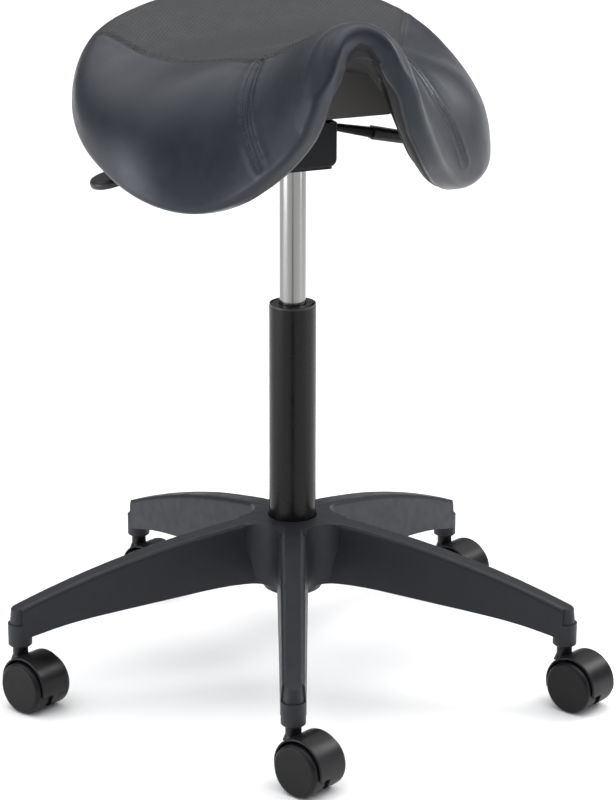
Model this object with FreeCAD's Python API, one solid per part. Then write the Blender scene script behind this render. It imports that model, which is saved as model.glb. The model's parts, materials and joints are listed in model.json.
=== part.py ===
import FreeCAD, Part
import math
import os

# Saddle stool for a dentist: five-star base on twin-wheel castors, gas column,
# tilt mechanism with two levers, and an upholstered saddle seat.
# Millimetres. +Z up, origin on the floor under the column's axis.
# The sitter faces -Y; the sitter's left is +X.

V = FreeCAD.Vector

# ---------------------------------------------------------------- driving sizes
STEM_R = 302.7            # castor stem circle
ARM_ANGLES = [-112.1, -40.1, 31.9, 103.9, 175.9]
TRAIL_ANGLE = -63.3       # way the castors trail at rest
TRAIL = 22.0              # stem axis to wheel axle
WHEEL_R = 27.5
WHEEL_OUT = 25.0          # wheel's outer face from the castor's mid plane
WHEEL_IN = 5.2
HOOD_R = 31.4
HOOD_HALF = 18.5
HOOD_WALL = 2.0
AXLE_R = 3.0
CASTOR_STEM_R = 5.5
RUN = 0.05                # radial running clearance
SOCKET_R = 12.7
SOCKET_Z = 65.0

HUB_TOP = 178.0
HUB_BOTTOM = 95.0
COLUMN_R = 25.0
COLUMN_IN = 22.2
COLUMN_BOT = 100.0
COLUMN_TOP = 411.0
RING_TOP = 414.0
TUBE_R = 14.0
TUBE_IN = 12.5
TUBE_BOT = 250.0
TUBE_TOP = 594.0
ROD_R = 5.0

BOX_X = 35.0              # mechanism housing, half width
BOX_Y0, BOX_Y1 = -36.0, 44.0
BOX_Z0, BOX_Z1 = 565.5, 612.0
WALL = 3.0
TILT_Y, TILT_Z = -20.0, 600.0
BLOCK_Z = 618.0

PAD_HALF = 16.0           # half the thickness of the upholstered seat
SHELL_T = 7.0             # moulded seat shell
SHELL_INSET = 9.0

os.makedirs("parts", exist_ok=True)
DONE = []


def save(name, shape):
    if isinstance(shape, (list, tuple)):
        shape = Part.makeCompound(list(shape))
    shape.exportStep("parts/%s.step" % name)
    DONE.append(name)
    print("%-26s solids %2d volume %10.1f valid %s" % (
        name, len(shape.Solids), shape.Volume, shape.isValid()))


# ---------------------------------------------------------------- small helpers
def cyl(r, z0, z1, x=0.0, y=0.0):
    return Part.makeCylinder(r, z1 - z0, V(x, y, z0))


def tube(ro, ri, z0, z1, x=0.0, y=0.0):
    return cyl(ro, z0, z1, x, y).cut(cyl(ri, z0 - 1, z1 + 1, x, y))


def block(x0, x1, y0, y1, z0, z1):
    return Part.makeBox(x1 - x0, y1 - y0, z1 - z0, V(x0, y0, z0))


def cyl_x(r, x0, x1, y, z):
    return Part.makeCylinder(r, x1 - x0, V(x0, y, z), V(1, 0, 0))


def cyl_y(r, y0, y1, x, z):
    return Part.makeCylinder(r, y1 - y0, V(x, y0, z), V(0, 1, 0))


def cone(r0, r1, z0, z1, x=0.0, y=0.0):
    return Part.makeCone(r0, r1, z1 - z0, V(x, y, z0))


def turned(points):
    # solid of revolution about Z from (r, z) points
    pts = [V(r, 0, z) for r, z in points]
    pts.append(pts[0])
    return Part.Face(Part.makePolygon(pts)).revolve(V(0, 0, 0), V(0, 0, 1), 360)


def soften(shape, pick, radius):
    edges = [e for e in shape.Edges if pick(e)]
    try:
        out = shape.makeFillet(radius, edges)
        if out.isValid() and out.Volume > 0:
            return out
    except Exception:
        pass
    return shape


def spin(shape, deg, at=V(0, 0, 0), axis=V(0, 0, 1)):
    s = shape.copy()
    s.rotate(at, axis, deg)
    return s


def hermite(xs, ys, x):
    # smooth curve through the given nodes, flat beyond the ends
    if x <= xs[0]:
        return ys[0]
    if x >= xs[-1]:
        return ys[-1]
    n = len(xs)
    m = []
    for i in range(n):
        if i == 0:
            m.append((ys[1] - ys[0]) / (xs[1] - xs[0]))
        elif i == n - 1:
            m.append((ys[-1] - ys[-2]) / (xs[-1] - xs[-2]))
        else:
            m.append((ys[i + 1] - ys[i - 1]) / (xs[i + 1] - xs[i - 1]))
    i = max(k for k in range(n - 1) if xs[k] <= x)
    h = xs[i + 1] - xs[i]
    t = (x - xs[i]) / h
    return ((2 * t ** 3 - 3 * t ** 2 + 1) * ys[i] + (t ** 3 - 2 * t ** 2 + t) * h * m[i]
            + (-2 * t ** 3 + 3 * t ** 2) * ys[i + 1] + (t ** 3 - t ** 2) * h * m[i + 1])


# ---------------------------------------------------------------- star base
ARM_R = [20.0, 50.0, 80.0, 116.0, 150.0, 182.0, 215.0, 245.0, 275.0, 303.0, 322.0]
ARM_TOP = [178.0, 177.0, 172.6, 165.6, 158.2, 149.8, 140.2, 130.4, 119.6, 108.6, 101.0]
ARM_BOT = [109.0, 109.5, 109.2, 105.6, 101.2, 97.2, 93.0, 88.4, 81.8, 74.5, 72.0]
ARM_WT = [13.4, 13.3, 13.2, 12.9, 12.7, 12.5, 12.3, 12.1, 11.9, 11.7, 11.6]
ARM_WB = [17.0, 16.6, 16.2, 15.7, 15.2, 14.7, 14.3, 13.9, 13.5, 13.1, 13.0]


def arm_section(r, top, bot, wt, wb, rc):
    # closed wire in the plane across the arm: flat top with rounded shoulders, drafted sides
    c = rc * 0.2929
    pts = [(-wb, bot), (-wt, top - rc), (-wt + c, top - c), (-wt + rc, top),
           (wt - rc, top), (wt - c, top - c), (wt, top - rc), (wb, bot)]
    p = [V(r, y, z) for y, z in pts]
    edges = [Part.makeLine(p[0], p[1]), Part.Arc(p[1], p[2], p[3]).toShape(),
             Part.makeLine(p[3], p[4]), Part.Arc(p[4], p[5], p[6]).toShape(),
             Part.makeLine(p[6], p[7]), Part.makeLine(p[7], p[0])]
    return Part.Wire(edges)


def arm_loft(inset, r0, r1, floor=None):
    wires = []
    for r, t, b, wt, wb in zip(ARM_R, ARM_TOP, ARM_BOT, ARM_WT, ARM_WB):
        if r < r0 or r > r1:
            continue
        bb = b if floor is None else b - floor
        wires.append(arm_section(r, t - inset, bb, wt - inset, wb - inset, max(5.0 - inset, 1.5)))
    return Part.makeLoft(wires, True, False)


def one_arm():
    arm = arm_loft(0.0, 0, 400)
    # rounded nose about the castor socket, leaning back towards the top
    nose = cone(13.6, 8.4, 60, 112, STEM_R, 0)
    keep = block(0, STEM_R, -40, 40, 60, 190).fuse(nose)
    arm = arm.common(keep)
    # open channel underneath, with cross ribs
    pocket = arm_loft(4.0, 60, 280, 8.0)
    for r in (112.0, 160.0, 208.0, 250.0):
        pocket = pocket.cut(block(r - 1.5, r + 1.5, -40, 40, 60, 200))
    pocket = pocket.cut(block(0, 66, -40, 40, 60, 200)).cut(block(284, 330, -40, 40, 60, 200))
    arm = arm.cut(pocket)
    socket = cyl(SOCKET_R, SOCKET_Z + 1.4, 90, STEM_R, 0).fuse(
        cone(SOCKET_R - 1.6, SOCKET_R, SOCKET_Z, SOCKET_Z + 1.4, STEM_R, 0))
    arm = arm.fuse(socket)
    return arm.cut(cyl(8.0, 60, 95, STEM_R, 0))


def hub_web():
    # hollow-cornered star that blends each arm into its neighbours
    half, rad = 14.6, 27.0
    d = (half + rad) / math.sin(math.radians(36))
    run = (half + rad) / math.tan(math.radians(36))
    edges = []
    for k, a in enumerate(ARM_ANGLES):
        b = math.radians(a)
        nb = math.radians(a + 36)
        nn = math.radians(a + 72)
        u, n = V(math.cos(b), math.sin(b), 0), V(-math.sin(b), math.cos(b), 0)
        u2, n2 = V(math.cos(nn), math.sin(nn), 0), V(-math.sin(nn), math.cos(nn), 0)
        mid = V(math.cos(nb), math.sin(nb), 0) * (d - rad)
        p0 = u * run + n * half
        p1 = u2 * run - n2 * half
        edges.append(Part.makeLine(u * run - n * half, p0))
        edges.append(Part.Arc(p0, mid, p1).toShape())
    wire = Part.Wire(Part.__sortEdges__(edges))
    star = Part.Face(wire).extrude(V(0, 0, 70))
    star.translate(V(0, 0, 109))
    cap = turned([(0, 108), (70, 108), (70, 173.2), (60, 175.4), (50, 176.8), (40, 177.6), (28, 178.0), (0, 178.0)])
    return star.common(cap)


base = hub_web()
arm0 = one_arm()
for a in ARM_ANGLES:
    base = base.fuse(spin(arm0, a))
boss = turned([(0, HUB_BOTTOM), (28, HUB_BOTTOM), (31, HUB_BOTTOM + 2), (37, 108), (37, 112), (0, 112)])
base = base.fuse(boss)
# tapered bore for the column tube, with a small chamfered mouth
bore = cone(COLUMN_R - 1.0, COLUMN_R, COLUMN_BOT, 166).fuse(cyl(COLUMN_R, 165.5, 190))
bore = bore.fuse(cone(COLUMN_R, COLUMN_R + 1.5, HUB_TOP - 1.5, HUB_TOP + 0.01)).fuse(cyl(COLUMN_R - 2.5, 80, 101))
base = base.cut(bore).removeSplitter()
save("star_base", base)

sleeves = []
for a in ARM_ANGLES:
    s = tube(8.0, CASTOR_STEM_R + RUN, 66.0, 94.0, STEM_R, 0)
    sleeves.append(spin(s, a))
save("castor_sleeves", sleeves)

# ---------------------------------------------------------------- column
col = cone(COLUMN_R - 1.0, COLUMN_R, COLUMN_BOT, 166).fuse(cyl(COLUMN_R, 166, COLUMN_TOP)).removeSplitter()
col = col.cut(cyl(COLUMN_IN, COLUMN_BOT - 1, COLUMN_TOP + 1))
save("column_tube", col)

bush = tube(COLUMN_IN, TUBE_R + RUN, 352, COLUMN_TOP).fuse(tube(COLUMN_R - 0.4, TUBE_R + RUN, COLUMN_TOP, RING_TOP))
bush = bush.cut(tube(COLUMN_IN + 1, 19.0, 370, 396))
for k in range(4):
    a = 45 + 90 * k
    notch = cyl(23.2, RING_TOP - 1.4, RING_TOP + 1).cut(cyl(21.0, 400, 420))
    wedge = Part.makeBox(40, 15.0, 30, V(0, -7.5, 400))
    bush = bush.cut(spin(notch.common(wedge), a))
ch = turned([(TUBE_R + RUN, RING_TOP), (TUBE_R + 1.4, RING_TOP), (TUBE_R + RUN, RING_TOP - 1.2)])
bush = bush.cut(ch)
save("column_guide_bush", bush)

plate = tube(COLUMN_IN, ROD_R + RUN, COLUMN_BOT, COLUMN_BOT + 4)
save("column_end_plate", plate)
save("bearing_lower_washer", tube(13.0, ROD_R + RUN, 104, 105.5))
balls = []
for k in range(12):
    b = math.radians(30 * k)
    balls.append(Part.makeSphere(1.49, V(9.2 * math.cos(b), 9.2 * math.sin(b), 107.0)))
save("bearing_balls", balls)
cage = tube(11.6, 6.4, 106.4, 107.6)
for k in range(12):
    b = math.radians(30 * k)
    cage = cage.cut(Part.makeSphere(1.56, V(9.2 * math.cos(b), 9.2 * math.sin(b), 107.0)))
save("bearing_cage", cage)

# ---------------------------------------------------------------- piston rod
rod = cyl(ROD_R, 93, 362)
rod = rod.cut(tube(7, 4.1, 96.0, 97.3)).cut(tube(7, 4.0, 352, 362.5))
save("piston_rod", rod)
save("rod_clip", tube(7.6, 4.1, 96.0, 97.3).cut(block(-2.6, 2.6, 0, 10, 90, 99)))
save("bearing_upper_washer", tube(13.0, ROD_R, 108.5, 110))
save("bump_washer", tube(12.0, ROD_R, 110, 116))
piston = tube(TUBE_IN - RUN, 4.0, 352, 362).fuse(cyl(TUBE_IN - RUN, 362, 366))
piston = piston.cut(tube(TUBE_IN + 1, TUBE_IN - 1.2, 356, 359))
save("rod_piston", piston)

# ---------------------------------------------------------------- gas spring tube
def outer_tube(extra=0.0):
    return cyl(TUBE_R + extra, TUBE_BOT, 558).fuse(cone(TUBE_R + extra, 13.2 + extra, 558, TUBE_TOP)).removeSplitter()


tube_body = outer_tube().cut(cyl(TUBE_IN, TUBE_BOT - 1, 570)).cut(cyl(12.0, 569, TUBE_TOP + 1))
save("pressure_tube", tube_body)
gland = tube(TUBE_IN, ROD_R + RUN, TUBE_BOT + 1, TUBE_BOT + 24)
save("tube_gland", gland)
PIN_R = 3.0
valve = tube(12.0, PIN_R + RUN, 571, TUBE_TOP - 0.5)
save("valve_body", valve)
PIN_TOP = 598.8
save("valve_pin", soften(cyl(PIN_R, 574, PIN_TOP), lambda e: e.BoundBox.ZMin > PIN_TOP - 0.1, 0.8))

# ---------------------------------------------------------------- mechanism
def u_box(grow, z0, z1, rad):
    # box with rounded long lower edges
    b = block(-BOX_X - grow, BOX_X + grow, BOX_Y0 - grow, BOX_Y1 + grow, z0, z1)
    b = soften(b, lambda e: abs(e.BoundBox.ZMax - z0) < 0.01 and e.BoundBox.YLength > 20, rad)
    return soften(b, lambda e: e.BoundBox.ZLength > 20, 2.2)


housing = u_box(0.0, BOX_Z0, BOX_Z1, 8.0)
housing = housing.cut(u_box(-WALL, BOX_Z0 + WALL, BOX_Z1 + 10, 5.0))
housing = housing.cut(cyl(18.0, 550, BOX_Z0 + WALL + 1))
housing = housing.cut(cyl_x(4.0, -40, 40, TILT_Y, TILT_Z))
# wall notches for the levers
housing = housing.cut(block(-40, -30, -7.5, 9.5, 588, 620)).cut(block(30, 40, 14.0, 32.0, 586, 620))
SCREWS = [(-24, -27), (24, -27), (-24, 35), (24, 35)]
for x, y in SCREWS:
    housing = housing.cut(cyl(2.5, 550, BOX_Z0 + WALL + 1, x, y))
save("mechanism_housing", housing)

bplate = block(-31.5, 31.5, BOX_Y0 + 2, BOX_Y1 - 2, BOX_Z0 - 2.5, BOX_Z0)
bplate = soften(bplate, lambda e: e.BoundBox.ZLength > 2 and e.BoundBox.XLength < 0.1, 5.0)
bplate = bplate.cut(cyl(15.0, 550, BOX_Z0 + 1))
for x, y in SCREWS:
    bplate = bplate.cut(cyl(2.5, 550, BOX_Z0 + 1, x, y)).cut(cone(4.6, 2.5, BOX_Z0 - 2.5, BOX_Z0 - 0.4, x, y))
save("mechanism_bottom_plate", bplate)
screws = []
for x, y in SCREWS:
    s = cyl(2.5, BOX_Z0 - 0.4, BOX_Z0 + 7.5, x, y).fuse(cone(4.6, 2.5, BOX_Z0 - 2.5, BOX_Z0 - 0.4, x, y))
    s = s.cut(cyl(1.4, BOX_Z0 - 3, BOX_Z0 - 1.0, x, y))
    screws.append(s)
save("housing_screws", screws)

taper = tube(18.0, 1.0, BOX_Z0, 592.0).cut(outer_tube())
save("taper_socket", taper)

# brace plate across the housing with ears for the two lever pins
HL_X, HL_Z = -24.0, 602.0        # height lever pivot
TL_X, TL_Y, TL_Z = 22.0, 23.0, 601.0   # tilt lever pivot
brace = block(-BOX_X + WALL, BOX_X - WALL, BOX_Y0 + WALL, BOX_Y1 - WALL, 578, 581)
brace = soften(brace, lambda e: e.BoundBox.ZLength > 2, 4.0).cut(cyl(18.0, 570, 590))
for y0, y1 in ((-7.5, -5.0), (5.0, 7.5)):
    brace = brace.fuse(block(HL_X - 4.5, HL_X + 4.5, y0, y1, 581, 607))
for y0, y1 in ((TL_Y - 7.5, TL_Y - 5.0), (TL_Y + 5.0, TL_Y + 7.5)):
    brace = brace.fuse(block(TL_X - 4.5, TL_X + 4.5, y0, y1, 581, 605))
brace = brace.cut(cyl_y(2.5, -12, 12, HL_X, HL_Z)).cut(cyl_y(2.5, TL_Y - 12, TL_Y + 12, TL_X, TL_Z))
save("mechanism_brace", brace)
save("lever_pivot_pins", [cyl_y(2.5, -8.5, 8.5, HL_X, HL_Z), cyl_y(2.5, TL_Y - 8.5, TL_Y + 8.5, TL_X, TL_Z)])

pins = []
for s in (-1, 1):
    p = cyl_x(4.0, 24, 35, TILT_Y, TILT_Z).fuse(cyl_x(7.0, 35, 37.4, TILT_Y, TILT_Z))
    p = soften(p, lambda e: e.BoundBox.XMin > 37.2, 0.8)
    if s < 0:
        p = p.mirror(V(0, 0, 0), V(1, 0, 0))
    pins.append(p)
save("tilt_pivot_pins", pins)

# ---------------------------------------------------------------- levers
def bar(p0, p1, w0, h0, w1, h1, rad):
    # tapered bar with rounded long edges between two points, wide along Y
    d = p1.sub(p0)
    length = d.Length
    wires = []
    for s, w, h in ((0.0, w0, h0), (length, w1, h1)):
        r = min(rad, w / 2 - 0.05, h / 2 - 0.05)
        y, z = w / 2, h / 2
        c = r * 0.2929
        q = [(-y + r, -z), (y - r, -z), (y - c, -z + c), (y, -z + r), (y, z - r), (y - c, z - c),
             (y - r, z), (-y + r, z), (-y + c, z - c), (-y, z - r), (-y, -z + r), (-y + c, -z + c)]
        P = [V(s, a, b) for a, b in q]
        e = [Part.makeLine(P[0], P[1]), Part.Arc(P[1], P[2], P[3]).toShape(),
             Part.makeLine(P[3], P[4]), Part.Arc(P[4], P[5], P[6]).toShape(),
             Part.makeLine(P[6], P[7]), Part.Arc(P[7], P[8], P[9]).toShape(),
             Part.makeLine(P[9], P[10]), Part.Arc(P[10], P[11], P[0]).toShape()]
        wires.append(Part.Wire(e))
    solid = Part.makeLoft(wires, True, True)
    yaw = math.degrees(math.atan2(d.y, d.x))
    pitch = math.degrees(math.atan2(d.z, math.hypot(d.x, d.y)))
    solid.rotate(V(0, 0, 0), V(0, 1, 0), -pitch)
    solid.rotate(V(0, 0, 0), V(0, 0, 1), yaw)
    solid.translate(p0)
    return solid


HL0 = V(HL_X, 0, HL_Z)
HL_TIP = V(-214.0, 22.0, 555.0)
hd = HL_TIP.sub(HL0)
hl_dir = V(hd.x, hd.y, hd.z)
hl_dir.normalize()
hl_mid = HL0 + hl_dir * 112.0
blade = block(HL_X, 5.0, -4.0, 4.0, PIN_TOP + 0.25, 604.6)
eye = cyl_y(5.0, -4.5, 4.5, HL_X, HL_Z)
rod_l = bar(HL0, hl_mid, 8.0, 6.4, 8.0, 6.4, 3.0)
lever = blade.fuse(eye).fuse(rod_l).cut(cyl_y(2.5 + RUN, -12, 12, HL_X, HL_Z)).removeSplitter()
save("height_lever_rod", lever)

# flat paddle: a stadium outline, thinning to its rim
PAD_L, PAD_W, PAD_T = 92.0, 42.0, 9.0
body = block(0, PAD_L - PAD_W / 2, -PAD_W / 2, PAD_W / 2, -PAD_T / 2, PAD_T / 2).fuse(
    Part.makeCylinder(PAD_W / 2, PAD_T, V(PAD_L - PAD_W / 2, 0, -PAD_T / 2)))
neck_l = block(-18, 6, -6.5, 6.5, -PAD_T / 2, PAD_T / 2)
shoulder = Part.Face(Part.makePolygon([V(-18, -6.5, 0), V(22, -PAD_W / 2, 0), V(22, PAD_W / 2, 0), V(-18, 6.5, 0), V(-18, -6.5, 0)])).extrude(V(0, 0, PAD_T))
shoulder.translate(V(0, 0, -PAD_T / 2))
body = body.cut(block(-1, 22, -40, 40, -10, 10)).fuse(shoulder).removeSplitter()
body = soften(body, lambda e: abs(abs(e.CenterOfMass.z) - PAD_T / 2) < 0.01, 3.6)
body = body.cut(bar(V(-30, 0, 0), V(26, 0, 0), 8.0, 6.4, 8.0, 6.4, 3.0))
yaw = math.degrees(math.atan2(hd.y, hd.x))
pitch = math.degrees(math.atan2(hd.z, math.hypot(hd.x, hd.y)))
hl_len = hd.Length
body.translate(V(hl_len - PAD_L, 0, 0))
body.rotate(V(0, 0, 0), V(0, 1, 0), -pitch)
body.rotate(V(0, 0, 0), V(0, 0, 1), yaw)
body.translate(HL0)
save("height_lever_paddle", body.cut(lever))

TL0 = V(TL_X, TL_Y, TL_Z)
tl_dir = V(math.cos(math.radians(12.5)), 0, -math.sin(math.radians(12.5)))
t1 = TL0 + tl_dir * 16.0
t2 = TL0 + tl_dir * 78.0
t3 = TL0 + tl_dir * 130.0
rod_t = bar(TL0, t1, 8.0, 6.5, 8.0, 6.5, 3.0).fuse(bar(TL0 + tl_dir * 15.9, t2, 8.0, 6.5, 12.0, 11.0, 3.0))
eye = cyl_y(4.8, TL_Y - 4.5, TL_Y + 4.5, TL_X, TL_Z)
tlever = rod_t.fuse(eye).fuse(bar(t2 - tl_dir * 0.1, TL0 + tl_dir * 122.0, 7.0, 6.0, 7.0, 6.0, 2.0))
tlever = tlever.cut(cyl_y(2.5 + RUN, TL_Y - 12, TL_Y + 12, TL_X, TL_Z)).removeSplitter()
save("tilt_lever_rod", tlever)
grip = bar(TL0 + tl_dir * 79.0, t3, 17.0, 13.8, 16.0, 12.8, 4.0).fuse(bar(t3 - tl_dir * 0.1, TL0 + tl_dir * 148.0, 13.0, 8.5, 11.0, 6.0, 2.8))
save("tilt_lever_grip", grip.cut(tlever).removeSplitter())
cam = cyl_y(4.6, TL_Y - 4.4, TL_Y + 4.4, TL_X - 5.6, TL_Z - 3.4)
cam = cam.cut(cyl_y(4.85, TL_Y - 12, TL_Y + 12, TL_X, TL_Z)).cut(tlever)
save("tilt_lock_cam", cam)

# ---------------------------------------------------------------- seat carrier
web = block(-29.5, 29.5, -30, 36, BLOCK_Z - 4, BLOCK_Z)
carrier = soften(web, lambda e: e.BoundBox.ZLength > 3 and e.BoundBox.XLength < 0.1 and e.BoundBox.YLength < 0.1, 5.0)
for s in (-1, 1):
    x0, x1 = (26.0, 29.5) if s > 0 else (-29.5, -26.0)
    ear = block(x0, x1, -29.0, -11.0, 600, BLOCK_Z - 3).fuse(cyl_x(9.0, x0, x1, TILT_Y, TILT_Z))
    carrier = carrier.fuse(ear)
# lock tongue squeezed by the tilt lever's cam
carrier = carrier.fuse(block(9.0, 11.5, 20.0, 33.0, 594, BLOCK_Z - 3))
carrier = carrier.cut(cyl_x(4.0 + RUN, 20, 40, TILT_Y, TILT_Z)).cut(cyl_x(4.0 + RUN, -40, -20, TILT_Y, TILT_Z))
CSCREWS = [(-18, -22), (18, -22), (-18, 28), (18, 28)]
for x, y in CSCREWS:
    carrier = carrier.cut(cyl(3.0, 600, BLOCK_Z + 5, x, y)).cut(cone(5.4, 3.0, BLOCK_Z - 4, BLOCK_Z - 1.6, x, y))
carrier = carrier.removeSplitter()
save("seat_carrier", carrier)
cs = []
for x, y in CSCREWS:
    s = cyl(3.0, BLOCK_Z - 3.8, 632, x, y).fuse(cone(5.3, 3.0, BLOCK_Z - 3.9, BLOCK_Z - 1.6, x, y)).cut(cyl(2.0, BLOCK_Z - 5, BLOCK_Z - 2.0, x, y))
    cs.append(s.removeSplitter())
save("seat_carrier_screws", cs)

# ---------------------------------------------------------------- seat form
# rim of the seat at mid thickness, sitter's left side, front to rear
RIM = [(0, -180, 729), (47, -189, 669), (87, -166, 603), (119, -134, 566), (153, -106, 553),
       (190, -72, 561), (212, -26, 579), (221, 27, 606), (211, 80, 644), (174, 120, 679),
       (125, 141, 696), (85, 161, 701), (43, 173, 702), (0, 175, 704)]
# middle line of the seat at mid thickness
CEN_Y = [-190, -166, -134, -106, -90, -70, -36, 0, 33, 64, 100, 120, 150, 176]
CEN_Z = [722, 724, 717, 707, 700, 692, 681, 674, 674.5, 678, 688, 694, 702, 704]
# section shape: first handle across, second handle across, second handle up
SEC_Y = [-192, -176, -153, -122, -94, -70, -36, 0, 64, 110, 140, 176]
SEC_A = [0.64, 0.62, 0.46, 0.42, 0.43, 0.50, 0.58, 0.60, 0.58, 0.50, 0.45, 0.40]
SEC_C = [0.93, 0.92, 0.80, 0.80, 0.89, 0.95, 0.976, 0.977, 0.972, 0.95, 0.90, 0.85]
SEC_D = [0.72, 0.70, 0.50, 0.44, 0.56, 0.62, 0.67, 0.70, 0.72, 0.80, 0.80, 0.80]

SPAN = 8                  # points from the middle line to the rounded edge

rim_curve = Part.BSplineCurve()
rim_curve.interpolate([V(*p) for p in RIM])


def rim_rows(count):
    # stations evenly spaced along the rim, front to rear, each moved in by half the
    # thickness to the middle of the rounded edge: (half width, y, z)
    pts = rim_curve.toShape().discretize(Number=600)
    core = []
    for i in range(1, len(pts) - 1):
        d = pts[i + 1] - pts[i - 1]
        n = math.hypot(d.x, d.y)
        nx, ny = d.y / n, -d.x / n
        lift = 9.0 * max(0.0, min(1.0, (640.0 - pts[i].z) / 60.0))
        core.append(V(pts[i].x - PAD_HALF * nx, pts[i].y - PAD_HALF * ny, pts[i].z + lift))
    core = [p for p in core if p.x > 40.0]
    acc = [0.0]
    for p, q in zip(core[:-1], core[1:]):
        acc.append(acc[-1] + p.distanceToPoint(q))
    rows = []
    for k in range(count):
        t = acc[-1] * k / (count - 1)
        i = min(max(j for j in range(len(acc)) if acc[j] <= t + 1e-9), len(core) - 2)
        f = (t - acc[i]) / max(acc[i + 1] - acc[i], 1e-9)
        rows.append(core[i] + (core[i + 1] - core[i]) * f)
    return rows


def section_mid(w, y, ze, t):
    # point of the middle surface's section at station y, with its unit tangent
    zc = hermite(CEN_Y, CEN_Z, y)
    a, c, d = hermite(SEC_Y, SEC_A, y), hermite(SEC_Y, SEC_C, y), hermite(SEC_Y, SEC_D, y)
    p1, p2 = (a * w, zc), (c * w, ze + d * (zc - ze))
    u = 1 - t
    x = 3 * u * u * t * p1[0] + 3 * u * t * t * p2[0] + t ** 3 * w
    z = u ** 3 * zc + 3 * u * u * t * p1[1] + 3 * u * t * t * p2[1] + t ** 3 * ze
    dx = 3 * u * u * p1[0] + 6 * u * t * (p2[0] - p1[0]) + 3 * t * t * (w - p2[0])
    dz = 3 * u * u * (p1[1] - zc) + 6 * u * t * (p2[1] - p1[1]) + 3 * t * t * (ze - p2[1])
    n = math.hypot(dx, dz)
    return x, z, dx / n, dz / n


def spline(points):
    # every section uses the same parameters, so the sections match one another
    n = len(points) - 1
    c = Part.BSplineCurve()
    c.interpolate(Points=points, Parameters=[k / n for k in range(n + 1)])
    return c.toShape()


def slab(top, bottom, inset, rows=15):
    """Closed seat-shaped solid between two offsets from the middle surface."""
    mid, half = 0.5 * (top + bottom), 0.5 * (top - bottom)
    base_rows = rim_rows(rows)
    first, last = base_rows[0], base_rows[-1]
    reach = 9.0
    stations = [(V(first.x - 3.0, 0, first.z + 3.0), first.y - reach)]
    stations += [(p, p.y) for p in base_rows]
    stations += [(V(last.x - 4.0, 0, last.z), last.y + reach)]
    wires = []
    for p, y in stations:
        yy = y * (180.0 - inset) / 180.0
        w = p.x
        zc, cc, dd = hermite(CEN_Y, CEN_Z, yy), hermite(SEC_Y, SEC_C, yy), hermite(SEC_Y, SEC_D, yy)
        tmax = 1.0 - inset / (3.0 * math.hypot(w * (1 - cc), dd * (zc - p.z)) + 1.0)
        tmax = max(tmax, 0.8)

        def at(t, off):
            x, z, tx, tz = section_mid(w, yy, p.z, abs(t))
            x, z = x - off * tz, z + off * tx
            return V(x if t >= 0 else -x, yy, z)

        ts = [tmax * (k - SPAN) / SPAN for k in range(2 * SPAN + 1)]
        upper = [at(t, mid + half) for t in ts]
        lower = [at(t, mid - half) for t in ts]
        x, z, tx, tz = section_mid(w, yy, p.z, tmax)
        tip = V(x - mid * tz + half * tx, yy, z + mid * tx + half * tz)
        tip_l = V(-tip.x, yy, tip.z)
        e = [spline(upper), Part.Arc(upper[-1], tip, lower[-1]).toShape(),
             spline(lower[::-1]), Part.Arc(lower[0], tip_l, upper[0]).toShape()]
        wires.append(Part.Wire(e))
    return Part.makeLoft(wires, True, False)


pad = slab(PAD_HALF, -PAD_HALF, 0.0)          # whole thickness, to shape the block under it
cushion = slab(PAD_HALF, -PAD_HALF + SHELL_T + 2.8, 0.0)
seat_shell = slab(-PAD_HALF + SHELL_T - 0.2, -PAD_HALF, SHELL_INSET)
save("seat_cushion", cushion)

blk = block(-97, 97, -46, 84, BLOCK_Z, 673)
blk = soften(blk, lambda e: e.BoundBox.ZLength > 40, 12.0)
blk = blk.cut(pad).cut(seat_shell)
if len(blk.Solids) > 1:
    blk = sorted(blk.Solids, key=lambda s: s.BoundBox.ZMin)[0]
for x, y in CSCREWS:
    blk = blk.cut(cyl(3.0, 600, 632, x, y))
BSCREWS = [(-70, -28), (70, -28), (-70, 66), (70, 66)]
for x, y in BSCREWS:
    blk = blk.cut(cyl(2.5, 600, 680, x, y)).cut(cyl(5.5, 600, 640, x, y))
    seat_shell = seat_shell.cut(cyl(2.5, 640, 664, x, y))
save("seat_base_block", blk)
save("seat_shell", seat_shell)
bs = []
for x, y in BSCREWS:
    s = cyl(2.5, 640, 664, x, y).fuse(cyl(4.8, 637, 640, x, y)).cut(cyl(1.8, 636, 638.4, x, y)).removeSplitter()
    bs.append(s)
save("seat_block_screws", bs)

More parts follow.
